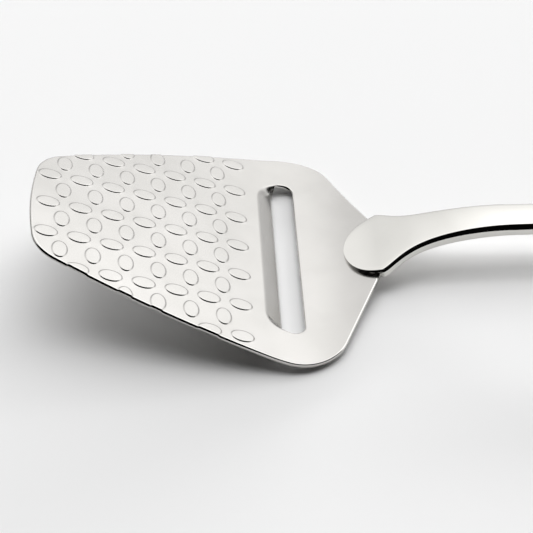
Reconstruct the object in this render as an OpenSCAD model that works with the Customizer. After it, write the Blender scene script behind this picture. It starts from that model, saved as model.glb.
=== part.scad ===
// Cheese slicer: a stamped steel blade lap-welded under the front tongue of a polished steel handle.
// It rests on the blade's cutting lip and on the handle's end, with the blade's tip in the air.
// Millimetres, +X towards the handle's end, +Z up, z = 0 on the table, x = 0 at mid length.

/* [Blade sheet] */
// thickness of the stamped sheet
blade_t = 0.9; // [0.7:0.05:1.2]
// flat front plate, from the middle of the tip to the start of the bend
plate_len = 52; // [46:0.5:60]
// width between the two bowed sides at the tip, before its corners are rounded
tip_w = 30.4; // [26:0.2:36]
// width between the two bowed sides at the slot, before the shoulders are rounded
blade_w = 71.6; // [64:0.2:78]
// radius of the bowed sides
side_r = 240; // [180:5:400]
// radius of the bowed tip edge
tip_bow_r = 75; // [55:1:120]
// radius of the two corners at the tip
tip_corner_r = 9; // [5:0.5:11]
// radius of the two shoulders
shoulder_r = 10.5; // [7:0.5:12]
// angle of the shoulder edges to the blade's length
shoulder_angle = 68.9; // [60:0.5:74]
// how far the blade's back end stays inside the tongue's corners, on each side
back_inset = 0.9; // [0.3:0.1:3]

/* [Bend] */
// inside radius of the broad bend at the heel
bend_r = 39; // [34:0.5:46]
// how far the front plate tips up from the table
plate_tilt = 18.3; // [17:0.1:22]
// how steeply the neck climbs where the bend ends
neck_rise = 20; // [16:0.1:23]

/* [Slot and lip] */
// length of the slot, end to end
slot_len = 51.4; // [40:0.2:56]
// how far ahead of the bend the fold line of the lip lies
fold_ahead = 0.6; // [0:0.1:1.2]
// fold line of the lip to the far edge of the slot
slot_w = 8.6; // [8:0.1:9.6]
// radius of the slot's corners beside the lip
slot_lip_r = 5.6; // [3:0.1:6]
// radius of the slot's corners on the handle side
slot_back_r = 2.4; // [1:0.1:2.8]
// reach of the lip from its fold line to the cutting edge
lip_reach = 4.2; // [3.5:0.1:4.6]
// angle at which the lip is pressed down
lip_angle = 25; // [18:0.5:30]
// width of the ground bevel on top of the lip
bevel_w = 0.95; // [0.6:0.05:1.3]
// thickness left at the cutting edge
edge_t = 0.12; // [0.05:0.01:0.25]

/* [Raised ovals] */
// long size of an oval
oval_len = 5.1; // [4:0.1:5.4]
// short size of an oval
oval_w = 3.4; // [2.6:0.1:3.8]
// how far an oval stands up from the sheet
oval_rise = 0.25; // [0.1:0.01:0.3]
// how much smaller the hollow under an oval is on every side
oval_wall = 0.25; // [0.15:0.05:0.4]
// spacing of the oval columns along the blade
oval_pitch = 3.533; // [3.5:0.005:3.6]
// spacing of the oval rows across the blade
oval_row = 5; // [4.8:0.05:5.4]
// how far the crosswise ovals sit nearer the tip than midway between their neighbours
oval_shift = 0.39; // [0:0.01:0.6]
// plain sheet kept between the first column and the tip
tip_margin = 1; // [0.5:0.1:2]
// last column's centre line to the start of the bend
oval_margin = 5.8; // [5:0.1:7]
// how much of an oval has to lie on the sheet for it to be pressed
oval_show = 1; // [0.8:0.1:1.6]

/* [Handle] */
// thickness of the handle's bar
handle_t = 2.4; // [2:0.05:3]
// rounded front tip of the tongue to its corners
tongue_len = 7.3; // [6:0.1:9]
// width over the tongue's corners
tongue_w = 20; // [18:0.2:24]
// tongue's corners to the handle's step
tongue_cover = 0.25; // [0.1:0.05:0.6]
// width of the handle at its narrowest
neck_w = 8.6; // [6:0.1:11]
// how quickly the handle narrows behind the tongue
neck_flare = 5.3; // [4:0.1:8]
// width of the handle at its widest
grip_w = 17; // [13:0.2:22]
// straight climb behind the bend
ramp_len = 7.3; // [4:0.1:10]
// radius of the underside where the climb levels out
arch_r = 62.4; // [50:0.2:80]
// top of the arch to the handle's end
tail_len = 125; // [100:1:140]
// top of the arch to where the handle starts to widen
waist_len = 12; // [6:1:20]
// length over which the handle widens
widen_len = 88; // [60:1:95]
// length of the rounded handle end
end_len = 11; // [7:0.5:14]
// rounding of the handle's upper edges
edge_r = 1.4; // [0.8:0.1:1.6]
// bevel on the handle's lower edges
under_bevel = 0.3; // [0.15:0.05:0.5]
// handle's step to the end of the bend
step_back = 0.55; // [0.2:0.05:1.5]
// space between the end of the blade and the handle's step
butt_gap = 0.15; // [0.1:0.05:0.3]

/* [Welds] */
// diameter of a weld nugget
weld_d = 3.6; // [2.5:0.1:4]
// depth that a nugget reaches into each piece
weld_depth = 0.35; // [0.2:0.05:0.5]
// distance of a nugget from the middle line
weld_y = 3.9; // [2.4:0.1:4.2]
// handle's step to the middle of a nugget
weld_ahead = 2.65; // [2.3:0.05:3.2]

/* [Hidden] */
$fn = 64;
// extra length that takes a cut clear of a face
over = 1;
// degrees in one radian
rad = 180 / PI;
// height that clears the whole blade, above and below
tall = 2 * bend_r;

// bend: its angles run from the lowest line of the heel, where heights start until all is put in place
bend_z = blade_t + bend_r;
under_r = bend_r + blade_t;

// table under the lip's cutting edge, or under the heel where that is lower
lip_drop = lip_reach * tan(lip_angle);
lip_z = bend_z - (lip_reach - fold_ahead) * sin(plate_tilt) - (under_r + lip_drop) * cos(plate_tilt);
table_z = min(0, lip_z);

// handle path along its underside: s = 0 at the end of the bend
tongue_t = handle_t - blade_t;
step_s = -step_back;
corner_s = step_s - tongue_cover;
tip_s = corner_s - tongue_len;
arch_s = ramp_len;
apex_s = arch_s + arch_r * neck_rise / rad;
ramp_x = under_r * sin(neck_rise);
ramp_z = bend_z - under_r * cos(neck_rise);
arch_x = ramp_x + ramp_len * cos(neck_rise);
arch_z = ramp_z + ramp_len * sin(neck_rise);
apex_x = arch_x + arch_r * sin(neck_rise);
apex_z = arch_z + arch_r * (1 - cos(neck_rise));
tail_fall = apex_z - table_z;
tail_r = (tail_len * tail_len + tail_fall * tail_fall) / (2 * tail_fall);
tail_turn = asin(tail_len / tail_r);
end_s = apex_s + tail_r * tail_turn / rad;

// the blade ends just short of the handle's step, inside the tongue's corners
back_w = tongue_w - 2 * back_inset;
bend_sweep = plate_tilt + slope(step_s - butt_gap);
back_u = bend_r * sin(bend_sweep);

// ends of the object along X, with x = 0 at the lowest line of the heel
front_x = -under_r * sin(plate_tilt) - plate_len * cos(plate_tilt);
rear_x = apex_x + tail_len + handle_t * sin(tail_turn);
mid_x = (front_x + rear_x) / 2;

function unit(v) = v / norm(v);
function angle_of(v) = atan2(v[1], v[0]);
function arc(c, r, a0, a1, n) = [
    for (i = [0 : n])
        let (a = a0 + (a1 - a0) * i / n)
        c + r * [cos(a), sin(a)]
];
function smooth(t) = let (k = min(1, max(0, t))) k * k * (3 - 2 * k);

// blade outline, seen square to the front plate: u along it with 0 at the start of the bend, y across it
// its width is measured between the fold of the lip and the far edge of the slot
wide_u = (slot_w - fold_ahead) * 3 / 4;
side_a = [-plate_len, tip_w / 2];
side_b = [wide_u, blade_w / 2];
side_chord = side_b - side_a;
side_n = unit([-side_chord[1], side_chord[0]]);
side_c = (side_a + side_b) / 2 - sqrt(side_r * side_r - side_chord * side_chord / 4) * side_n;
function side_y(u) = side_c[1] + sqrt(side_r * side_r - (u - side_c[0]) * (u - side_c[0]));

tip_c = [tip_bow_r - plate_len, 0];
corner_a = tip_bow_r - tip_corner_r;
corner_b = side_r - tip_corner_r;
corner_v = side_c - tip_c;
corner_d = norm(corner_v);
corner_k = (corner_a * corner_a - corner_b * corner_b + corner_d * corner_d) / (2 * corner_d);
corner_h = sqrt(corner_a * corner_a - corner_k * corner_k);
corner_e = unit(corner_v);
corner_c = tip_c + corner_k * corner_e + corner_h * [corner_e[1], -corner_e[0]];

back_e = [back_u, back_w / 2];
shoulder_d = [-cos(shoulder_angle), sin(shoulder_angle)];
shoulder_n = [-sin(shoulder_angle), -cos(shoulder_angle)];
shoulder_q = back_e + shoulder_r * shoulder_n - side_c;
shoulder_qd = shoulder_q * shoulder_d;
shoulder_in = side_r - shoulder_r;
shoulder_root = shoulder_qd * shoulder_qd - shoulder_q * shoulder_q + shoulder_in * shoulder_in;
shoulder_k = sqrt(shoulder_root) - shoulder_qd;
shoulder_c = back_e + shoulder_r * shoulder_n + shoulder_k * shoulder_d;

a_tip = angle_of(corner_c - tip_c);
a_corner = angle_of(corner_c - side_c);
a_shoulder = angle_of(shoulder_c - side_c);
// straight pieces that stand for a long flat arc and for a tight one
flat_n = 6;
tight_n = 8;
half_outline = concat(
    arc(tip_c, tip_bow_r, 180, a_tip, flat_n),
    arc(corner_c, tip_corner_r, a_tip, a_corner, tight_n),
    arc(side_c, side_r, a_corner, a_shoulder, 2 * flat_n),
    arc(shoulder_c, shoulder_r, a_shoulder, 90 - shoulder_angle, 2 * tight_n),
    [back_e - over * shoulder_d]
);
function mirrored(p) = [for (i = [len(p) - 1 : -1 : 1]) [p[i][0], -p[i][1]]];

// handle outline: s along the underside, half width either side of the middle line
widen_s = apex_s + waist_len;
grip_gain = (grip_w - neck_w) / 2;
function body_half(s) = neck_w / 2
    + (tongue_w - neck_w) / 2 / (1 + pow((s - corner_s) / neck_flare, 2))
    + grip_gain * smooth((s - widen_s) / widen_len);
function nose_half(s) = tongue_w / 2 * sqrt(max(0, s - tip_s) / tongue_len);
function end_cut(s) = let (k = max(0, s - end_s + end_len) / end_len) sqrt(max(0, 1 - k * k));
// half width left where the rounded end closes
end_half = 0.2;
function body_w(s) = max(end_half, body_half(s) * end_cut(s));

// the upper edges are sharp at the step, grow round behind it, and take a share of the width at the end
sharp_r = 0.02;
round_len = 2 * neck_flare;
round_share = 0.6;
function grown_r(s) = sharp_r + (edge_r - sharp_r) * smooth((s - step_s) / round_len);
function round_r(s) = min(body_w(s) * round_share, grown_r(s));

function slope(s) = s < 0 ? neck_rise + s / under_r * rad
    : s < arch_s ? neck_rise
    : s < apex_s ? neck_rise - (s - arch_s) / arch_r * rad
    : -(s - apex_s) / tail_r * rad;
function path(s) = let (a = slope(s))
    s < 0 ? [under_r * sin(a), bend_z - under_r * cos(a)]
    : s < arch_s ? [ramp_x + s * cos(a), ramp_z + s * sin(a)]
    : s < apex_s ? [apex_x - arch_r * sin(a), apex_z - arch_r * (1 - cos(a))]
    : [apex_x - tail_r * sin(a), apex_z - tail_r * (1 - cos(a))];

// tongue outline, seen square to its middle
nose_n = 12;
tongue_turn = slope((tip_s + step_s) / 2);
function tongue_x(s) = bend_r * sin(slope(s) - tongue_turn);
function nose_s(i) = tip_s + tongue_len * pow(i / nose_n, 2);
half_tongue = concat(
    [for (i = [0 : nose_n]) [tongue_x(nose_s(i)), nose_half(nose_s(i))]],
    [for (s = [step_s, step_s + over]) [tongue_x(s), body_half(step_s)]]
);

// one cross section of the bar: flat underside with bevelled edges, upright sides, rounded upper edges
ring_arc = 6;
function half_ring(w, r, bevel) = concat(
    [[w - bevel, 0], [w, bevel]],
    arc([w - r, handle_t - r], r, 0, 90, ring_arc)
);
function full_ring(h) = concat(h, [for (i = [len(h) - 1 : -1 : 0]) [-h[i][0], h[i][1]]]);
function ring(s) = let (
    w = body_w(s),
    a = slope(s),
    p = path(s),
    outline = full_ring(half_ring(w, round_r(s), min(under_bevel, w / 2)))
) [for (q = outline) [p[0] - q[1] * sin(a), q[0], p[1] + q[1] * cos(a)]];

// sections are close together where the outline turns quickly: behind the tongue and at the end
flare_n = 18;
flare_end = 5 * neck_flare;
tail_n = 26;
cap_n = 12;
stations = concat(
    [for (i = [0 : flare_n]) step_s + (flare_end - step_s) * i / flare_n],
    [for (i = [1 : tail_n]) flare_end + (end_s - end_len - flare_end) * i / tail_n],
    [for (i = [1 : cap_n]) end_s - end_len + end_len * sin(90 * i / cap_n)]
);

module in_place() {
    translate([-mid_x, 0, -table_z]) children();
}

module in_plate_frame() {
    translate([0, 0, bend_z]) rotate([0, plate_tilt, 0]) translate([0, 0, -bend_r]) children();
}

module at_bend(angle) {
    translate([0, 0, bend_z]) rotate([0, -angle, 0]) translate([0, 0, -bend_r]) children();
}

// pulls a side view, drawn as x and height, out across the full width
module across(width) {
    translate([0, width / 2, 0]) rotate([90, 0, 0]) linear_extrude(height = width) children();
}

// sector below the bend's centre, from the lowest line of its circle to an angle past it
module bend_wedge(turn, r) {
    polygon(concat([[0, 0]], arc([0, 0], r, -90, turn - 90, 2)));
}

module side_view_strip() {
    translate([-plate_len - over, -blade_t]) square([plate_len + over, blade_t]);
    translate([0, bend_r]) intersection() {
        difference() {
            circle(r = under_r);
            circle(r = bend_r);
        }
        bend_wedge(bend_sweep, tall);
    }
}

// the corners beside the lip take at most the width that the corners on the handle side leave
module slot_shape() {
    lip_r = min(slot_lip_r, slot_w - slot_back_r);
    lip_y = slot_len / 2 - lip_r;
    back_y = slot_len / 2 - slot_back_r;
    back_x = slot_w - slot_back_r;
    translate([-fold_ahead, 0]) polygon(concat(
        arc([lip_r, lip_y], lip_r, 180, 90, tight_n),
        arc([back_x, back_y], slot_back_r, 90, 0, tight_n),
        arc([back_x, -back_y], slot_back_r, 0, -90, tight_n),
        arc([lip_r, -lip_y], lip_r, -90, -180, tight_n)
    ));
}

// everything straight above and below the slot's outline
module slot_column() {
    translate([0, 0, -tall]) linear_extrude(height = 2 * tall) slot_shape();
}

// side view of the lip, from its fold line on, with the bevel ground on its upper face
module lip_section() {
    translate([-fold_ahead, 0]) polygon([
        [-over, 0],
        [0, 0],
        [lip_reach - bevel_w, -lip_drop * (1 - bevel_w / lip_reach)],
        [lip_reach, edge_t - blade_t - lip_drop],
        [lip_reach, -blade_t - lip_drop],
        [0, -blade_t],
        [-over, -blade_t]
    ]);
}

module oval(shrink) {
    scale([(oval_len - 2 * shrink) / (oval_w - 2 * shrink), 1]) circle(d = oval_w - 2 * shrink);
}

// ovals point along and across the blade by turns, in staggered columns
module oval_field(shrink) {
    columns = floor((plate_len - oval_margin - tip_margin - oval_len / 2) / oval_pitch);
    rows = floor(blade_w / 2 / oval_row);
    for (i = [0 : columns], j = [-rows : rows]) {
        along = i % 2 == 0;
        u = -oval_margin - i * oval_pitch - (along ? 0 : oval_shift);
        reach = (along ? oval_w : oval_len) / 2;
        if ((along == (j % 2 == 0)) && abs(j) * oval_row - reach + oval_show < side_y(u))
            translate([u, j * oval_row]) rotate(along ? 0 : 90) oval(shrink);
    }
}

module nugget() {
    translate([0, 0, -weld_depth]) cylinder(d = weld_d, h = 2 * weld_depth);
}

module nuggets() {
    for (side = [-1, 1])
        at_bend(slope(step_s - weld_ahead)) translate([0, side * weld_y, 0]) nugget();
}

module blade() {
    color("gainsboro") in_place() difference() {
        in_plate_frame() union() {
            difference() {
                intersection() {
                    union() {
                        across(blade_w + 2 * over) side_view_strip();
                        translate([0, 0, -blade_t / 2])
                            linear_extrude(height = blade_t / 2 + oval_rise) oval_field(0);
                    }
                    translate([0, 0, -tall]) linear_extrude(height = 2 * tall)
                        polygon(concat(half_outline, mirrored(half_outline)));
                }
                translate([0, 0, -blade_t - over])
                    linear_extrude(height = over + oval_rise) oval_field(oval_wall);
                slot_column();
            }
            intersection() {
                across(slot_len) lip_section();
                slot_column();
            }
        }
        nuggets();
    }
}

// front tongue, curved like the neck of the blade that it lies on
module tongue() {
    difference() {
        intersection() {
            translate([0, 0, bend_z]) across(tongue_w + 2 * over) intersection() {
                difference() {
                    circle(r = bend_r);
                    circle(r = bend_r - tongue_t);
                }
                bend_wedge(slope(step_s), tall);
            }
            at_bend(tongue_turn) translate([0, 0, -handle_t]) linear_extrude(height = 3 * handle_t)
                polygon(concat(half_tongue, mirrored(half_tongue)));
        }
        nuggets();
    }
}

// bar from the step to the rounded end
module bar() {
    rings = [for (s = stations) ring(s)];
    n = len(rings[0]);
    last = (len(rings) - 1) * n;
    polyhedron(
        points = [for (r = rings, p = r) p],
        faces = concat(
            [for (k = [0 : n : last - n], i = [0 : n - 1]) [k + i, k + n + i, k + n + (i + 1) % n]],
            [for (k = [0 : n : last - n], i = [0 : n - 1]) [k + i, k + n + (i + 1) % n, k + (i + 1) % n]],
            [for (i = [1 : n - 2]) [0, i, i + 1]],
            [for (i = [1 : n - 2]) [last, last + i + 1, last + i]]
        )
    );
}

module handle() {
    color("silver") in_place() {
        tongue();
        bar();
    }
}

module spot_welds() {
    color("darkgray") in_place() nuggets();
}

blade();
handle();
spot_welds();
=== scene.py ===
import math

import bmesh
import bpy
import numpy as np
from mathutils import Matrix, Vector
from mathutils.geometry import delaunay_2d_cdt


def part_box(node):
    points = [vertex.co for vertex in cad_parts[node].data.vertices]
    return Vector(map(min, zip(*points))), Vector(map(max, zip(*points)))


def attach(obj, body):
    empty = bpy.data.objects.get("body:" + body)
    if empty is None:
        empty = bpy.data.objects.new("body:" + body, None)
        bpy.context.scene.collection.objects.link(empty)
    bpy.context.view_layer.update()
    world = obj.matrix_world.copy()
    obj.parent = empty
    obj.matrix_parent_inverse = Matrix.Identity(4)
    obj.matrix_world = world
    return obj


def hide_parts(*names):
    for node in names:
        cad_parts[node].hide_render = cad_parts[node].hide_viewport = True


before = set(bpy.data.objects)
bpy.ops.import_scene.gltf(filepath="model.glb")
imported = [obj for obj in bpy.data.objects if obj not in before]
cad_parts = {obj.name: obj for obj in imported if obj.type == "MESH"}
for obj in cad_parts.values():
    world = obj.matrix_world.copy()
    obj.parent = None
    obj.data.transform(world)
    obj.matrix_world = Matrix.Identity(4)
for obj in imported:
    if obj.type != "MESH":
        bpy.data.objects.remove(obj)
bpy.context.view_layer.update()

# Blade
# One sheet of stainless steel, blanked to a tapered outline, pressed up into ovals, slotted behind a lip
# that is pressed down and ground sharp, and bent at the heel. It is tumbled to an even satin.
MM = 0.001
SHEET = 0.9
PLATE_LEN = 52.0
BEND_R = 39.0
PLATE_TILT = math.radians(18.3)
BEND_Z = SHEET + BEND_R

# The sheet is drawn flat on the front plate, u along it with 0 at the start of the bend and y across it.
# The plate's tip lies where the frame's blade begins. The lip's cutting edge stands on the table, so its
# reach and drop set how high the rest of the sheet stands.
LIP_REACH = 4.1
LIP_DROP = 1.7932
SHIFT_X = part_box("blade")[0][0] / MM + PLATE_LEN * math.cos(PLATE_TILT) + BEND_Z * math.sin(PLATE_TILT)
SHIFT_Z = LIP_REACH * math.sin(PLATE_TILT) + (BEND_Z + LIP_DROP) * math.cos(PLATE_TILT) - BEND_Z


def in_row(u, y, v):
    """A drawn point in the part's frame, in metres. v is its height over the plate's upper face."""
    x = u * math.cos(PLATE_TILT) + (v - BEND_R) * math.sin(PLATE_TILT) + SHIFT_X
    z = BEND_Z - u * math.sin(PLATE_TILT) + (v - BEND_R) * math.cos(PLATE_TILT)
    return (x * MM, y * MM, (z + SHIFT_Z) * MM)


def on_sheet(u, y, lift):
    """A point lifted off the sheet's upper face, which bends up behind u = 0."""
    if u <= 0:
        return in_row(u, y, lift)
    turn = math.asin(min(1, u / BEND_R))
    radius = BEND_R - lift
    return in_row(radius * math.sin(turn), y, BEND_R - radius * math.cos(turn))


def arc(centre, radius, start, stop, step):
    """Points along an arc, no more than a step apart."""
    count = max(2, math.ceil(abs(stop - start) * radius / step))
    angles = [start + (stop - start) * i / count for i in range(count + 1)]
    return [Vector((centre[0] + radius * math.cos(a), centre[1] + radius * math.sin(a))) for a in angles]


def line(start, stop, step):
    """Points along a straight line, no more than a step apart."""
    count = max(1, math.ceil((stop - start).length / step))
    return [start.lerp(stop, i / count) for i in range(count + 1)]


def angle_of(v):
    return math.atan2(v.y, v.x)


# Outline of the blank: bowed tip, rounded corners, bowed sides, rounded shoulders, and a straight back end
# that stops just short of the handle's step.
OUTLINE_STEP = 0.22
TIP_W = 30.4
BLADE_W = 71.6
WIDE_U = 6.0
SIDE_R = 240.0
TIP_BOW_R = 75.0
TIP_CORNER_R = 9.0
SHOULDER_R = 10.5
SHOULDER_ANGLE = math.radians(68.9)
BACK_W = 18.2
NECK_RISE = math.radians(20.0)
BACK_SHORT = 0.7
BACK_TURN = PLATE_TILT + NECK_RISE - BACK_SHORT / BEND_Z

side_a = Vector((-PLATE_LEN, TIP_W / 2))
side_b = Vector((WIDE_U, BLADE_W / 2))
chord = side_b - side_a
side_in = Vector((chord.y, -chord.x)).normalized()
side_c = (side_a + side_b) / 2 + side_in * math.sqrt(SIDE_R ** 2 - chord.length_squared / 4)
tip_c = Vector((TIP_BOW_R - PLATE_LEN, 0))
corner_v = side_c - tip_c
corner_e = corner_v.normalized()
corner_a = TIP_BOW_R - TIP_CORNER_R
corner_b = SIDE_R - TIP_CORNER_R
corner_k = (corner_a ** 2 - corner_b ** 2 + corner_v.length_squared) / (2 * corner_v.length)
corner_h = math.sqrt(corner_a ** 2 - corner_k ** 2)
corner_c = tip_c + corner_e * corner_k + Vector((corner_e.y, -corner_e.x)) * corner_h
back_e = Vector((BEND_R * math.sin(BACK_TURN), BACK_W / 2))
shoulder_d = Vector((-math.cos(SHOULDER_ANGLE), math.sin(SHOULDER_ANGLE)))
shoulder_p = back_e - SHOULDER_R * Vector((math.sin(SHOULDER_ANGLE), math.cos(SHOULDER_ANGLE)))
shoulder_q = shoulder_p - side_c
shoulder_qd = shoulder_q.dot(shoulder_d)
shoulder_root = shoulder_qd ** 2 - shoulder_q.length_squared + (SIDE_R - SHOULDER_R) ** 2
shoulder_c = shoulder_p + shoulder_d * (math.sqrt(shoulder_root) - shoulder_qd)

a_tip = angle_of(corner_c - tip_c)
a_corner = angle_of(corner_c - side_c)
a_shoulder = angle_of(shoulder_c - side_c)
a_edge = math.pi / 2 - SHOULDER_ANGLE
shoulder_end = shoulder_c + SHOULDER_R * Vector((math.cos(a_edge), math.sin(a_edge)))
half = arc(tip_c, TIP_BOW_R, math.pi, a_tip, OUTLINE_STEP)
half += arc(corner_c, TIP_CORNER_R, a_tip, a_corner, OUTLINE_STEP)[1:]
half += arc(side_c, SIDE_R, a_corner, a_shoulder, OUTLINE_STEP)[1:]
half += arc(shoulder_c, SHOULDER_R, a_shoulder, a_edge, OUTLINE_STEP)[1:]
half += line(shoulder_end, back_e, OUTLINE_STEP)[1:]
half += line(back_e, Vector((back_e.x, 0)), OUTLINE_STEP)[1:]
outline = half + [Vector((p.x, -p.y)) for p in reversed(half[1:-1])]


def side_y(u):
    """Half the width between the two bowed sides."""
    return side_c.y + math.sqrt(SIDE_R ** 2 - (u - side_c.x) ** 2)


# Slot: the lip on its front side hangs on a straight fold and is drawn down round both ends without a cut.
SLOT_LEN = 51.4
SLOT_W = 8.0
SLOT_LIP_R = 5.6
SLOT_BACK_R = 2.4
FOLD_U = -0.6
BEVEL_W = 0.65
FOLD_COUNT = 84
LIP_ROWS = 12
BEVEL_ROWS = 4
quarter = math.pi / 2
lip_y = SLOT_LEN / 2 - SLOT_LIP_R
back_y = SLOT_LEN / 2 - SLOT_BACK_R
bevel_u = LIP_REACH - BEVEL_W
bevel_turn = math.acos(1 - (bevel_u - FOLD_U) / SLOT_LIP_R)
lip_turns = [bevel_turn * i / LIP_ROWS for i in range(1, LIP_ROWS + 1)]
lip_us = [FOLD_U + SLOT_LIP_R * (1 - math.cos(a)) for a in lip_turns]
lip_us += [bevel_u + BEVEL_W * i / BEVEL_ROWS for i in range(1, BEVEL_ROWS + 1)]


def lip_half(u):
    """Half the lip's length, which the slot's rounded ends set."""
    return lip_y + math.sqrt(SLOT_LIP_R ** 2 - (FOLD_U + SLOT_LIP_R - u) ** 2)


fold_ys = [lip_y * math.sin(quarter * (2 * i / FOLD_COUNT - 1)) for i in range(FOLD_COUNT + 1)]
fold = [Vector((FOLD_U, y)) for y in fold_ys]
slot_half = [Vector((u, lip_half(u))) for u in lip_us]
lip_corner = slot_half[-1]
corner_turn = math.acos((LIP_REACH - FOLD_U) / SLOT_LIP_R - 1)
slot_half += arc((FOLD_U + SLOT_LIP_R, lip_y), SLOT_LIP_R, corner_turn, quarter, OUTLINE_STEP)[1:]
slot_half += arc((SLOT_W - SLOT_BACK_R, back_y), SLOT_BACK_R, quarter, 0, OUTLINE_STEP)
slot_half += line(Vector((SLOT_W, back_y)), Vector((SLOT_W, 0)), OUTLINE_STEP)[1:]
slot = fold + slot_half + [Vector((p.x, -p.y)) for p in reversed(slot_half[:-1])]
first_cut = len(fold) + len(lip_us) - 1
last_cut = len(slot) - len(lip_us)

# The cut edges are rounded over by tumbling, more above than below, and more round the plate than at the
# neck and in the slot. RIM_TURNS are degrees round the upper and the lower edge.
RIM_R = 0.55
NECK_RIM_R = 0.28
NECK_RIM_U = (-14.0, 4.0)
SLOT_RIM_R = 0.42
RIM_UNDER = 0.6
RIM_TURNS = (15, 30, 45, 60, 75, 90)
RIM_FADE = 1.2
RIM_GUARD = 0.1


def pulled_in(loop, distance):
    """The loop moved sideways, to the left of its direction of travel."""
    moved = []
    for i, p in enumerate(loop):
        way = (loop[(i + 1) % len(loop)] - loop[i - 1]).normalized()
        moved.append(p + distance[i] * Vector((-way.y, way.x)))
    return moved


def smooth(t):
    """From 0 to 1 with a level start and a level end."""
    k = min(1, max(0, t))
    return k * k * (3 - 2 * k)


rim = [RIM_R] * len(outline)
for i, p in enumerate(outline):
    rim[i] += (NECK_RIM_R - RIM_R) * smooth((p.x - NECK_RIM_U[0]) / (NECK_RIM_U[1] - NECK_RIM_U[0]))
outline_in = pulled_in(outline, [-r for r in rim])
slot_fade = [0.0] * len(slot)
for i in range(first_cut, last_cut + 1):
    from_lip = (Vector((slot[i].x, abs(slot[i].y))) - lip_corner).length
    slot_fade[i] = SLOT_RIM_R * smooth(from_lip / RIM_FADE)
slot_in = pulled_in(slot, slot_fade)
guards = pulled_in(outline, [-r - RIM_GUARD for r in rim])
guards += pulled_in(slot, [fade + RIM_GUARD for fade in slot_fade])

# Raised ovals lie along and across the blade by turns, in staggered columns. Each is flat with a soft rim.
# OVAL_RINGS are shares of that rim's width, counted inwards.
OVAL_LEN = 5.1
OVAL_W = 3.4
OVAL_RISE = 0.2
OVAL_RIM = 0.45
OVAL_SKIRT = 0.15
OVAL_PITCH = 3.533
OVAL_ROW = 5.0
OVAL_SHIFT = 0.39
OVAL_MARGIN = 5.8
TIP_MARGIN = 1.0
OVAL_SHOW = 1.0
OVAL_POINTS = 40
OVAL_RINGS = (-0.1, 0, 0.14, 0.28, 0.42, 0.56, 0.7, 0.84, 1, 1.3)
OVAL_CORE = 1e-3

ovals = []
columns = int((PLATE_LEN - OVAL_MARGIN - TIP_MARGIN - OVAL_LEN / 2) / OVAL_PITCH)
rows = int(BLADE_W / 2 / OVAL_ROW)
for i in range(columns + 1):
    along = i % 2 == 0
    u = -OVAL_MARGIN - i * OVAL_PITCH - (0 if along else OVAL_SHIFT)
    size = (OVAL_LEN / 2, OVAL_W / 2) if along else (OVAL_W / 2, OVAL_LEN / 2)
    for j in range(-rows, rows + 1):
        on_blank = abs(j) * OVAL_ROW - size[1] + OVAL_SHOW < side_y(u)
        if on_blank and along == (j % 2 == 0):
            ovals.append((u, j * OVAL_ROW, size[0], size[1]))

# The plate is slightly crowned between its edges, and the crown fades out where the bend starts.
CROWN = 0.45
CROWN_U = -30.0
CROWN_LEN = 33.0
CROWN_FADE = (-14.0, 5.0)


def crown(u, y):
    """How far the crowned plate stands above a flat one."""
    fade = 1 - smooth((u - CROWN_FADE[0]) / (CROWN_FADE[1] - CROWN_FADE[0]))
    lengthwise = 1 - ((u - CROWN_U) / CROWN_LEN) ** 2
    crosswise = 1 - (y / side_y(min(u, WIDE_U))) ** 2
    return CROWN * fade * max(0, lengthwise) * max(0, crosswise)


def oval_depth(points):
    """How far inside the nearest oval's outline each point lies, in millimetres."""
    centre = np.array(ovals)
    off = points[:, None, :] - centre[None, :, :2]
    radius = np.hypot(off[..., 0], off[..., 1])
    share = np.hypot(off[..., 0] / centre[:, 2], off[..., 1] / centre[:, 3])
    depth = radius * (1 / np.maximum(share, OVAL_CORE) - 1)
    return np.where(share < OVAL_CORE, OVAL_W / 2, depth).max(axis=1)


def inside(points, loop):
    """Which points lie inside a closed loop."""
    a = np.array([p[:] for p in loop])
    b = np.roll(a, -1, axis=0)
    y = points[:, 1:2]
    crosses = (a[None, :, 1] > y) != (b[None, :, 1] > y)
    rise = np.where(b[:, 1] == a[:, 1], 1, b[:, 1] - a[:, 1])
    at = a[None, :, 0] + (y - a[None, :, 1]) / rise * (b[:, 0] - a[:, 0])
    return (crosses & (points[:, 0:1] < at)).sum(axis=1) % 2 == 1


def clear_of(points, loop, distance):
    """Which points lie further than a distance from each point of a loop."""
    a = np.array([p[:] for p in loop])
    gap = np.hypot(points[:, None, 0] - a[None, :, 0], points[:, None, 1] - a[None, :, 1])
    return gap.min(axis=1) > distance


# Points of the flat drawing: both cut loops, a guard beside them that keeps their roundness off the flat
# sheet, rings on each oval, and a staggered grid between them.
GRID_U = 1.25
GRID_Y = 2.0
RING_CLEAR = 0.1
GRID_CLEAR = 0.5
OVAL_CLEAR = 2 * OVAL_RIM
SAME_POINT = 1e-6
ring_points = []
for u, y, a, b in ovals:
    for ring in OVAL_RINGS:
        for i in range(OVAL_POINTS):
            turn = 2 * math.pi * i / OVAL_POINTS
            reach = 1 / math.hypot(math.cos(turn) / a, math.sin(turn) / b) + OVAL_SKIRT - ring * OVAL_RIM
            ring_points.append((u + reach * math.cos(turn), y + reach * math.sin(turn)))
    ring_points.append((u, y))
ring_points = np.array(ring_points)
keep = inside(ring_points, outline_in) & clear_of(ring_points, outline_in, RING_CLEAR)
ring_points = ring_points[keep]

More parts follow.
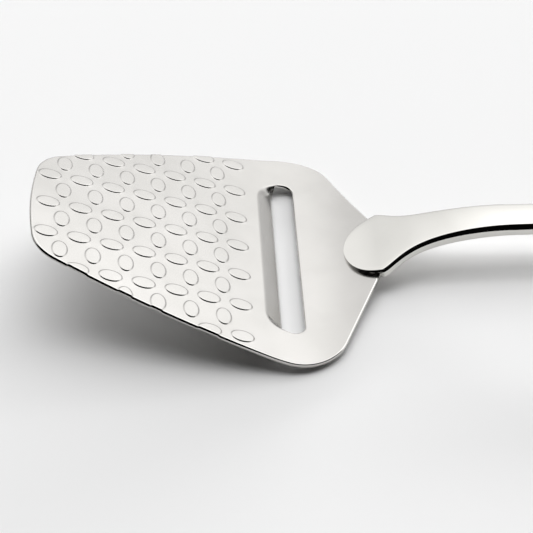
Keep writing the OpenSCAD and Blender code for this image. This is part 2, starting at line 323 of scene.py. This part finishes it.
grid_points = []
for i in range(int((PLATE_LEN + back_e.x) / GRID_U)):
    for j in range(int(BLADE_W / GRID_Y) + 1):
        stagger = 0.5 * (i % 2)
        grid_points.append((-PLATE_LEN + GRID_U * (i + 1), (j + stagger) * GRID_Y - BLADE_W / 2))
grid_points = np.array(grid_points)
keep = inside(grid_points, outline_in) & clear_of(grid_points, outline_in, GRID_CLEAR)
keep &= ~inside(grid_points, slot_in) & clear_of(grid_points, slot_in, GRID_CLEAR)
keep &= oval_depth(grid_points) < -OVAL_CLEAR
grid_points = grid_points[keep]

drawn = outline_in + slot_in + guards
drawn += [Vector(p) for p in ring_points]
drawn += [Vector(p) for p in grid_points]
first_slot = len(outline_in)
loop_edges = [(i, (i + 1) % first_slot) for i in range(first_slot)]
loop_edges += [(first_slot + i, first_slot + (i + 1) % len(slot_in)) for i in range(len(slot_in))]
flat, _, triangles, origin, _, _ = delaunay_2d_cdt(drawn, loop_edges, [], 0, SAME_POINT)
place = {}
for i, sources in enumerate(origin):
    for source in sources:
        place[source] = i
flat = np.array([p[:] for p in flat])
centres = np.array([flat[list(t)].mean(axis=0) for t in triangles])
keep = inside(centres, outline_in) & ~inside(centres, slot_in)
triangles = [t for t, kept in zip(triangles, keep) if kept]

# The drawing is laid on the bent sheet, once for each face.
depth = oval_depth(flat)
rise = np.array([OVAL_RISE * smooth((d + OVAL_SKIRT) / OVAL_RIM) for d in depth])
lift = rise + np.array([crown(u, y) for u, y in flat])

verts = [on_sheet(u, y, h) for (u, y), h in zip(flat, lift)]
under = len(verts)
verts += [on_sheet(u, y, h - SHEET) for (u, y), h in zip(flat, lift)]
faces = [tuple(t) for t in triangles]
faces += [tuple(under + i for i in reversed(t)) for t in triangles]
# Edge wear brightens the upper rounding of the cut edges; the lower rounding is left unworn as painted
# shade.
wear_and_shade = [0.0] * len(verts)


# Rounded cut edge all round the blank, and round the slot from one end of the fold to the other.
def rim_column(start, loop_in, loop_out, i):
    """Vertices down the cut edge at one point of a loop, from its upper to its lower face."""
    top = place[start + i]
    step = loop_out[i] - loop_in[i]
    r = step.length
    column = [top]
    for turn in RIM_TURNS:
        a = math.radians(turn)
        p = loop_in[i] + step * math.sin(a)
        column.append(len(verts))
        verts.append(on_sheet(p.x, p.y, lift[top] - r * (1 - math.cos(a))))
        wear_and_shade.append(1.0)
    # The lower rounding stays unworn and duller, a painted shade on its reflection of the table.
    for turn in reversed(RIM_TURNS):
        a = math.radians(turn)
        p = loop_in[i] + step * math.sin(a)
        column.append(len(verts))
        verts.append(on_sheet(p.x, p.y, lift[top] - SHEET + r * RIM_UNDER * (1 - math.cos(a))))
        wear_and_shade.append(0.0)
    return column + [under + top]


def strip(left, right):
    """Faces between two rows of vertices."""
    for a, b, c, d in zip(left, left[1:], right[1:], right):
        faces.append((a, b, c, d))


columns_out = [rim_column(0, outline_in, outline, i) for i in range(len(outline))]
for i in range(len(columns_out)):
    strip(columns_out[i], columns_out[(i + 1) % len(columns_out)])
columns_slot = [rim_column(first_slot, slot_in, slot, i) for i in range(first_cut, last_cut + 1)]
for left, right in zip(columns_slot, columns_slot[1:]):
    strip(left, right)

# Lip: pressed down from the fold in a soft curve, with a bevel ground on its upper face.
FOLD_SOFT = 0.8
END_DRAW = 2.4
EDGE_T = 0.12


def lip_drop(u):
    """How far the lip lies below the plate."""
    steep = LIP_DROP / (LIP_REACH - FOLD_U - FOLD_SOFT / 2)
    from_fold = u - FOLD_U
    if from_fold < FOLD_SOFT:
        return steep * from_fold ** 2 / (2 * FOLD_SOFT)
    return steep * (from_fold - FOLD_SOFT / 2)


upper = [[place[first_slot + i] for i in range(len(fold))]]
lower = [[under + i for i in upper[0]]]
for k, u in enumerate(lip_us):
    bent = BEND_R - math.sqrt(BEND_R ** 2 - max(0, u) ** 2)
    ground = max(0, u - bevel_u) / BEVEL_W * (SHEET - EDGE_T)
    ends = (place[first_slot + len(slot) - 1 - k], place[first_slot + len(fold) + k])
    for rows_of, cut, foot in ((upper, ground, 0), (lower, 0, SHEET)):
        row = [ends[0] + (under if foot else 0)]
        for p in fold[1:-1]:
            y = p.y / lip_y * lip_half(u)
            drawn_in = smooth((lip_half(u) - abs(y)) / END_DRAW)
            height = crown(u, y) + bent - drawn_in * (bent + lip_drop(u) + cut)
            row.append(len(verts))
            verts.append(in_row(u, y, height - foot))
            wear_and_shade.append(0.0)
        rows_of.append(row + [ends[1] + (under if foot else 0)])
for left, right in zip(upper, upper[1:]):
    strip(left, right)
for left, right in zip(lower, lower[1:]):
    strip(right, left)
strip(upper[-1][1:-1], lower[-1][1:-1])
faces.append((upper[-1][-2], *columns_slot[0], lower[-1][-2]))
faces.append((lower[-1][1], *reversed(columns_slot[-1]), upper[-1][1]))

SMOOTH_BELOW = math.radians(32)
WELD_BELOW = 1e-7


def piece_of(name, points, polygons, wear_and_shade_values):
    """A closed mesh with outward faces, smooth except along its sharp edges, and its edge wear and painted
    shade at each point.
    """
    mesh = bpy.data.meshes.new(name)
    mesh.from_pydata(points, [], polygons)
    mesh.attributes.new("wear_and_shade", "FLOAT", "POINT").data.foreach_set("value", wear_and_shade_values)
    solid = bmesh.new()
    solid.from_mesh(mesh)
    bmesh.ops.remove_doubles(solid, verts=solid.verts, dist=WELD_BELOW)
    bmesh.ops.recalc_face_normals(solid, faces=solid.faces)
    solid.to_mesh(mesh)
    solid.free()
    made = bpy.data.objects.new(name, mesh)
    bpy.context.scene.collection.objects.link(made)
    mesh.shade_smooth()
    mesh.set_sharp_from_angle(angle=SMOOTH_BELOW)
    return made


blade = piece_of("stamped_blade", verts, faces, wear_and_shade)


def new_material(name):
    """A material, the nodes and links of its tree, and its shader."""
    material = bpy.data.materials.new(name)
    material.use_nodes = True
    tree = material.node_tree
    return material, tree.nodes, tree.links, tree.nodes["Principled BSDF"]


def noise(nodes, links, coords, scale, detail):
    """A cloudy pattern in the piece's own space, scale in clouds per metre."""
    made = nodes.new("ShaderNodeTexNoise")
    made.inputs["Scale"].default_value = scale
    made.inputs["Detail"].default_value = detail
    links.new(coords, made.inputs["Vector"])
    return made.outputs["Fac"]


# A noise keeps mostly between these two levels.
NOISE_SPAN = (0.3, 0.7)


def remap(nodes, links, value, low, high):
    """A noise stretched to run from low to high."""
    made = nodes.new("ShaderNodeMapRange")
    made.inputs["From Min"].default_value = NOISE_SPAN[0]
    made.inputs["From Max"].default_value = NOISE_SPAN[1]
    made.inputs["To Min"].default_value = low
    made.inputs["To Max"].default_value = high
    links.new(value, made.inputs["Value"])
    return made.outputs["Result"]


def two_tones(nodes, links, value, first, second, span):
    """One colour below a span of a noise's levels, another above it, and a blend within it."""
    made = nodes.new("ShaderNodeValToRGB")
    for stop, level, colour in zip(made.color_ramp.elements, span, (first, second)):
        stop.position = level
        stop.color = colour
    links.new(value, made.inputs["Fac"])
    return made.outputs["Color"]


# Satin: a warm grey with a faint cloudy tone, finely pitted by the tumbling stones. Worn upper edges are
# brighter and smoother; the lower edges keep the plain satin, a painted shade that darkens their reflection.
SATIN_DULL = (0.475, 0.465, 0.448, 1)
SATIN_BRIGHT = (0.505, 0.494, 0.478, 1)
SATIN_WORN = (0.60, 0.59, 0.57, 1)
WORN_SMOOTHER = 0.1
STEEL_SPAN = (0.35, 0.65)
satin, nodes, links, shader = new_material("satin_steel")
shader.inputs["Metallic"].default_value = 1.0
coords = nodes.new("ShaderNodeTexCoord").outputs["Object"]
cloud = noise(nodes, links, coords, scale=90, detail=3)
grain = noise(nodes, links, coords, scale=5200, detail=2)
tone = two_tones(nodes, links, cloud, SATIN_DULL, SATIN_BRIGHT, STEEL_SPAN)
wear_and_shade_input = nodes.new("ShaderNodeAttribute")
wear_and_shade_input.attribute_name = "wear_and_shade"
edge = nodes.new("ShaderNodeMix")
edge.data_type = "RGBA"
edge.inputs["B"].default_value = SATIN_WORN
links.new(wear_and_shade_input.outputs["Fac"], edge.inputs["Factor"])
links.new(tone, edge.inputs["A"])
links.new(edge.outputs["Result"], shader.inputs["Base Color"])
dull = nodes.new("ShaderNodeMath")
dull.operation = "MULTIPLY_ADD"
dull.inputs[1].default_value = -WORN_SMOOTHER
links.new(wear_and_shade_input.outputs["Fac"], dull.inputs[0])
links.new(remap(nodes, links, grain, low=0.2, high=0.26), dull.inputs[2])
links.new(dull.outputs["Value"], shader.inputs["Roughness"])
pits = nodes.new("ShaderNodeBump")
pits.inputs["Strength"].default_value = 0.05
pits.inputs["Distance"].default_value = 0.00002
links.new(grain, pits.inputs["Height"])
links.new(pits.outputs["Normal"], shader.inputs["Normal"])
blade.data.materials.append(satin)
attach(blade, "root")
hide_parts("blade")

# Handle
# A forged and polished stainless bar. Its thin front tongue is spot welded on the blade's neck, with a step
# under it behind the sheet's end. The bar climbs, levels out and falls to a wide rounded end on the table.

# Side view: its top grows from the tip's height to the bar's, and its foot settles on the path behind the
# step.
RAMP_LEN = 7.3
ARCH_R = 62.4
TAIL_LEN = 125.0
STEP_BACK = 0.55
TIP_T = 1.65
HANDLE_T = 2.65
GROW_END = 14.0
FOOT_LIFT = 0.5
FOOT_LEN = 24.0

# Seen from above: a bulging tongue, a neck that flares to meet it, a waist and a wide grip with a round end.
TONGUE_PAST = 0.85
TONGUE_LEN = 8.4
TONGUE_BULGE = 0.3
NECK_W = 8.6
FLARE_W = 12.0
FLARE_LEN = 5.7
WAIST_LEN = 12.0
WIDEN_LEN = 88.0
GRIP_W = 17.0
END_LEN = 11.0
LEAST_HALF = 0.02

# Cross section: sharp on the tongue, with upper edges that round off and a top that domes along the bar.
TONGUE_EDGE_R = 0.14
STEP_EDGE_R = 0.85
EDGE_R = 1.5
EDGE_SHARE = 0.7
ROUND_LEN = 30.0
TOP_TILT = math.radians(4.5)
UNDER_LEN = 7.0
UNDER_R = 0.4
TONGUE_DRAFT = 0.1
NARROW_HALF = 2.0

step_s = -STEP_BACK
corner_s = step_s + TONGUE_PAST
tip_s = corner_s - TONGUE_LEN
apex_s = RAMP_LEN + ARCH_R * NECK_RISE
ramp_x = BEND_Z * math.sin(NECK_RISE)
ramp_z = BEND_Z * (1 - math.cos(NECK_RISE))
apex_x = ramp_x + RAMP_LEN * math.cos(NECK_RISE) + ARCH_R * math.sin(NECK_RISE)
apex_z = ramp_z + RAMP_LEN * math.sin(NECK_RISE) + ARCH_R * (1 - math.cos(NECK_RISE))
tail_fall = apex_z + SHIFT_Z
tail_r = (TAIL_LEN ** 2 + tail_fall ** 2) / (2 * tail_fall)
end_s = apex_s + tail_r * math.asin(TAIL_LEN / tail_r)


def slope(s):
    """How steeply the handle's underside climbs, s along it from the end of the bend."""
    if s < 0:
        return NECK_RISE + s / BEND_Z
    if s < RAMP_LEN:
        return NECK_RISE
    if s < apex_s:
        return NECK_RISE - (s - RAMP_LEN) / ARCH_R
    return -(s - apex_s) / tail_r


def path(s):
    """Where the handle's underside runs, along and up from the lowest line of the heel."""
    a = slope(s)
    if s < 0:
        return BEND_Z * math.sin(a), BEND_Z * (1 - math.cos(a))
    if s < RAMP_LEN:
        return ramp_x + s * math.cos(a), ramp_z + s * math.sin(a)
    if s < apex_s:
        return apex_x - ARCH_R * math.sin(a), apex_z - ARCH_R * (1 - math.cos(a))
    return apex_x - tail_r * math.sin(a), apex_z - tail_r * (1 - math.cos(a))


def half_width(s):
    """Half the handle's width, s along it."""
    flare = FLARE_W / 2 / (1 + ((max(s, corner_s) - step_s) / FLARE_LEN) ** 2)
    if s < corner_s:
        t = max(0, s - tip_s) / TONGUE_LEN
        return (NECK_W / 2 + flare) * math.sqrt(t) * (1 + TONGUE_BULGE * (1 - t))
    grip = (GRIP_W - NECK_W) / 2 * smooth((s - apex_s - WAIST_LEN) / WIDEN_LEN)
    k = max(0, s - end_s + END_LEN) / END_LEN
    return max(LEAST_HALF, (NECK_W / 2 + flare + grip) * math.sqrt(max(0, 1 - k * k)))


def ease(t):
    """From 0 to 1 with a level end."""
    k = min(1, max(0, t))
    return k * (2 - k)


ROUND_STEPS = 12
TOP_STEPS = 8


def section(s, foot):
    """Half of a cross section, from the middle of its underside out and up to the middle of its top."""
    w = half_width(s)
    top = TIP_T + (HANDLE_T - TIP_T) * ease((s - tip_s) / (GROW_END - tip_s))
    rounded = min(1, max(0, s - step_s) / ROUND_LEN)
    nearing = smooth((s - tip_s) / (step_s - tip_s))
    r = TONGUE_EDGE_R + (STEP_EDGE_R - TONGUE_EDGE_R) * nearing + (EDGE_R - STEP_EDGE_R) * rounded
    r = min(EDGE_SHARE * w, r)
    grown = smooth((s - step_s) / UNDER_LEN)
    b = min(w / 2, UNDER_R) * grown
    lean = TONGUE_DRAFT * (1 - grown) * min(1, w / NARROW_HALF)
    tilt = TOP_TILT * rounded
    edge_y = w - lean - r + r * math.sin(tilt)
    dome = edge_y * math.tan(tilt) / 2
    centre_z = top - dome - r * math.cos(tilt)
    outline_half = [(0.0, foot), (w / 2, foot)]
    for i in range(ROUND_STEPS // 2 + 1):
        a = quarter * i / (ROUND_STEPS // 2)
        outline_half.append((w - b + b * math.sin(a), foot + b - b * math.cos(a)))
    for i in range(ROUND_STEPS + 1):
        a = (quarter - tilt) * i / ROUND_STEPS
        outline_half.append((w - lean - r + r * math.cos(a), centre_z + r * math.sin(a)))
    for i in range(1, TOP_STEPS + 1):
        k = 1 - i / TOP_STEPS
        outline_half.append((edge_y * k, top - dome * k * k))
    return outline_half


def ring(s, foot):
    """A whole cross section in the part's frame, in metres."""
    x, z = path(s)
    a = slope(s)
    right = section(s, foot)
    whole = right + [(-y, h) for y, h in reversed(right[1:-1])]
    along = [x + SHIFT_X - h * math.sin(a) for _, h in whole]
    height = [z + SHIFT_Z + h * math.cos(a) for _, h in whole]
    return [(p * MM, y * MM, q * MM) for p, (y, _), q in zip(along, whole, height)]


# Cross sections lie close at the tongue's tip, where it widens fast, along the flare and at the round end.
# At the step there are two: the tongue's, which stands on the sheet, and the bar's, which reaches lower.
NOSE_COUNT = 40
NOSE_START = 0.05
FLARE_COUNT = 70
FLARE_FADE = 5
BAR_COUNT = 150
END_COUNT = 30
flare_end = FLARE_FADE * FLARE_LEN
nose = [tip_s + TONGUE_LEN * (max(i, NOSE_START) / NOSE_COUNT) ** 2 for i in range(NOSE_COUNT + 1)]
bar = [corner_s + (flare_end - corner_s) * i / FLARE_COUNT for i in range(1, FLARE_COUNT + 1)]
bar += [flare_end + (end_s - END_LEN - flare_end) * i / BAR_COUNT for i in range(1, BAR_COUNT + 1)]
bar += [end_s - END_LEN * (1 - math.sin(quarter * i / END_COUNT)) for i in range(1, END_COUNT + 1)]
rings = [ring(s, SHEET) for s in nose if s < step_s]
rings += [ring(step_s, SHEET), ring(step_s, FOOT_LIFT)]
for s in [s for s in nose if s > step_s] + bar:
    rings.append(ring(s, FOOT_LIFT * (1 - smooth((s - step_s) / FOOT_LEN))))
around = len(rings[0])
handle_verts = [p for r in rings for p in r]
handle_faces = []
for k in range(len(rings) - 1):
    for i in range(around):
        j = (i + 1) % around
        handle_faces.append((k * around + i, k * around + j, (k + 1) * around + j, (k + 1) * around + i))
handle_faces.append(tuple(range(around)))
handle_faces.append(tuple((len(rings) - 1) * around + i for i in reversed(range(around))))
handle = piece_of("polished_handle", handle_verts, handle_faces, [0.0] * len(handle_verts))

# Mirror polish: a bright, faintly warm steel with a faint haze and fine buffing lines along the bar.
POLISH_LOW = (0.622, 0.612, 0.584, 1)
POLISH_HIGH = (0.652, 0.642, 0.614, 1)
polish, nodes, links, shader = new_material("polished_steel")
shader.inputs["Metallic"].default_value = 1.0
coords = nodes.new("ShaderNodeTexCoord").outputs["Object"]
drawn_out = nodes.new("ShaderNodeMapping")
drawn_out.inputs["Scale"].default_value = (0.06, 1, 1)
links.new(coords, drawn_out.inputs["Vector"])
haze = noise(nodes, links, coords, scale=60, detail=3)
buffing = noise(nodes, links, drawn_out.outputs["Vector"], scale=4200, detail=3)
tone = two_tones(nodes, links, haze, POLISH_LOW, POLISH_HIGH, STEEL_SPAN)
links.new(tone, shader.inputs["Base Color"])
links.new(remap(nodes, links, buffing, low=0.03, high=0.05), shader.inputs["Roughness"])
lines = nodes.new("ShaderNodeBump")
lines.inputs["Strength"].default_value = 0.02
lines.inputs["Distance"].default_value = 0.00001
links.new(buffing, lines.inputs["Height"])
links.new(lines.outputs["Normal"], shader.inputs["Normal"])
handle.data.materials.append(polish)
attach(handle, "root")
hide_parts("handle")

# Spot welds
# Two nuggets of fused steel between the tongue and the neck of the blade. They are made by a pair of
# electrodes and stay hidden between the two pieces.
WELD_DARK = (0.32, 0.31, 0.30, 1)
WELD_PALE = (0.50, 0.49, 0.47, 1)
WHOLE_SPAN = (0.0, 1.0)
weld, nodes, links, shader = new_material("weld_steel")
shader.inputs["Metallic"].default_value = 1.0
coords = nodes.new("ShaderNodeTexCoord").outputs["Object"]
grain = noise(nodes, links, coords, scale=1500, detail=4)
tone = two_tones(nodes, links, grain, WELD_DARK, WELD_PALE, WHOLE_SPAN)
links.new(tone, shader.inputs["Base Color"])
links.new(remap(nodes, links, grain, low=0.4, high=0.6), shader.inputs["Roughness"])
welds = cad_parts["spot_welds"]
welds.data.materials.clear()
welds.data.materials.append(weld)

# Table
# A plain pale matt table top under the slicer, wide enough to fill the view on every side.
TABLE_HALF = 3.0
TABLE_PALE = (0.885, 0.885, 0.885, 1)
TABLE_GREY = (0.875, 0.875, 0.875, 1)
table_corners = [(x, y, 0) for x in (-TABLE_HALF, TABLE_HALF) for y in (-TABLE_HALF, TABLE_HALF)]
table_mesh = bpy.data.meshes.new("table")
table_mesh.from_pydata(table_corners, [], [(0, 2, 3, 1)])
table = bpy.data.objects.new("table", table_mesh)
bpy.context.scene.collection.objects.link(table)
matt, nodes, links, shader = new_material("matt_table")
coords = nodes.new("ShaderNodeTexCoord").outputs["Object"]
cloud = noise(nodes, links, coords, scale=3, detail=2)
tone = two_tones(nodes, links, cloud, TABLE_GREY, TABLE_PALE, WHOLE_SPAN)
links.new(tone, shader.inputs["Base Color"])
shader.inputs["Roughness"].default_value = 0.9
shader.inputs["Specular IOR Level"].default_value = 0.0
table.data.materials.append(matt)

# Light
# A white backdrop behind the table that brightens upwards to a soft canopy almost overhead, and a dark room
# on the near side and on the left. The world carries all of these, so that steel mirrors them.
world = bpy.data.worlds.new("studio")
bpy.context.scene.world = world
world.use_nodes = True
nodes = world.node_tree.nodes
links = world.node_tree.links
background = nodes["Background"]
direction = nodes.new("ShaderNodeTexCoord").outputs["Generated"]
split = nodes.new("ShaderNodeSeparateXYZ")
links.new(direction, split.inputs["Vector"])


def world_math(operation, *values):
    """The result of one sum on numbers or on other nodes' results."""
    made = nodes.new("ShaderNodeMath")
    made.operation = operation
    for socket, value in zip(made.inputs, values):
        if isinstance(value, (int, float)):
            socket.default_value = value
        else:
            links.new(value, socket)
    return made.outputs["Value"]


def world_curve(value, low, high, stops):
    """Level of light at each stop, with straight lines between them."""
    made = nodes.new("ShaderNodeFloatCurve")
    points = made.mapping.curves[0].points
    top = max(level for _, level in stops)
    while len(points) < len(stops):
        points.new(0.5, 0.5)
    for point, (place_of, level) in zip(points, stops):
        point.location = ((place_of - low) / (high - low), level / top)
        point.handle_type = "VECTOR"
    made.mapping.update()
    links.new(world_math("DIVIDE", world_math("SUBTRACT", value, low), high - low), made.inputs["Value"])
    return world_math("MULTIPLY", made.outputs["Value"], top)


# Degrees round the X axis: 0 at the horizon behind, 90 overhead, 180 at the near horizon.
BACKDROP = (
    (0, 0.80),
    (10, 0.88),
    (18, 1.0),
    (25, 1.16),
    (32, 1.35),
    (36, 1.51),
    (40, 1.63),
    (52, 1.80),
    (62, 1.85),
    (76, 1.80),
    (80, 0.002),
    (180, 0.002),
)
# Across: -1 at the far left, 1 at the far right.
SIDEWAYS = (
    (-1.0, 0.10),
    (-0.75, 0.20),
    (-0.5, 0.76),
    (-0.3, 0.82),
    (-0.135, 0.82),
    (-0.07, 0.90),
    (-0.01, 0.96),
    (0.03, 1.01),
    (0.4, 1.27),
    (0.6, 1.12),
    (1.0, 0.70),
)
around_x = world_math("ARCTAN2", split.outputs["Z"], split.outputs["Y"])
climb = world_curve(world_math("DEGREES", around_x), 0, 180, BACKDROP)
across = world_curve(split.outputs["X"], -1, 1, SIDEWAYS)
links.new(world_math("MULTIPLY", climb, across), background.inputs["Strength"])
background.inputs["Color"].default_value = (1.0, 1.0, 1.0, 1)

# Seen past the table's edge, the room is a plain pale backdrop.
SEEN_PALE = (0.88, 0.88, 0.88, 1)
seen = nodes.new("ShaderNodeBackground")
seen.inputs["Color"].default_value = SEEN_PALE
choice = nodes.new("ShaderNodeMixShader")
links.new(nodes.new("ShaderNodeLightPath").outputs["Is Camera Ray"], choice.inputs["Fac"])
links.new(background.outputs["Background"], choice.inputs[1])
links.new(seen.outputs["Background"], choice.inputs[2])
links.new(choice.outputs["Shader"], nodes["World Output"].inputs["Surface"])

# Three soft lamps, low behind the table, overhead, and behind on the right, cast the shadow towards the
# viewer. Steel doesn't mirror them.
LAMPS = {
    "low_lamp": {
        "at": (0.923, 2.5, 0.451), "turn": (-math.pi / 2, 0, 0), "size": (3.92, 0.203), "watts": 78.0,
    },
    "high_lamp": {
        "at": (-0.397, 0.437, 2.5), "turn": (0, 0, 0), "size": (2.9, 1.34), "watts": 24.5,
    },
    "right_lamp": {
        "at": (2.5, 2.503, 1.773), "turn": (0, math.pi / 2, 0), "size": (0.339, 0.904), "watts": 19.5,
    },
}
for name, spec in LAMPS.items():
    lamp_data = bpy.data.lights.new(name, "AREA")
    lamp_data.shape = "RECTANGLE"
    lamp_data.size = spec["size"][0]
    lamp_data.size_y = spec["size"][1]
    lamp_data.energy = spec["watts"]
    lamp = bpy.data.objects.new(name, lamp_data)
    lamp.location = spec["at"]
    lamp.rotation_euler = spec["turn"]
    lamp.visible_glossy = False
    bpy.context.scene.collection.objects.link(lamp)

# Camera
# Looks down on the slicer from the near side, as the photograph does.
CAMERA_PLACE = (-0.079021, -0.307836, 0.249936)
CAMERA_FALL = math.radians(39.0907)
CAMERA_TURN = math.radians(-2.7848)
FOCAL_PX = 1800.0
IMAGE_PX = 533.0
camera_data = bpy.data.cameras.new("camera")
camera_data.sensor_width = 36.0
camera_data.lens = FOCAL_PX / IMAGE_PX * camera_data.sensor_width
camera_data.clip_start = 0.01
camera = bpy.data.objects.new("camera", camera_data)
camera.location = CAMERA_PLACE
camera.rotation_euler = (math.pi / 2 - CAMERA_FALL, 0, CAMERA_TURN)
bpy.context.scene.collection.objects.link(camera)
bpy.context.scene.camera = camera
bpy.context.scene.view_settings.view_transform = "Standard"
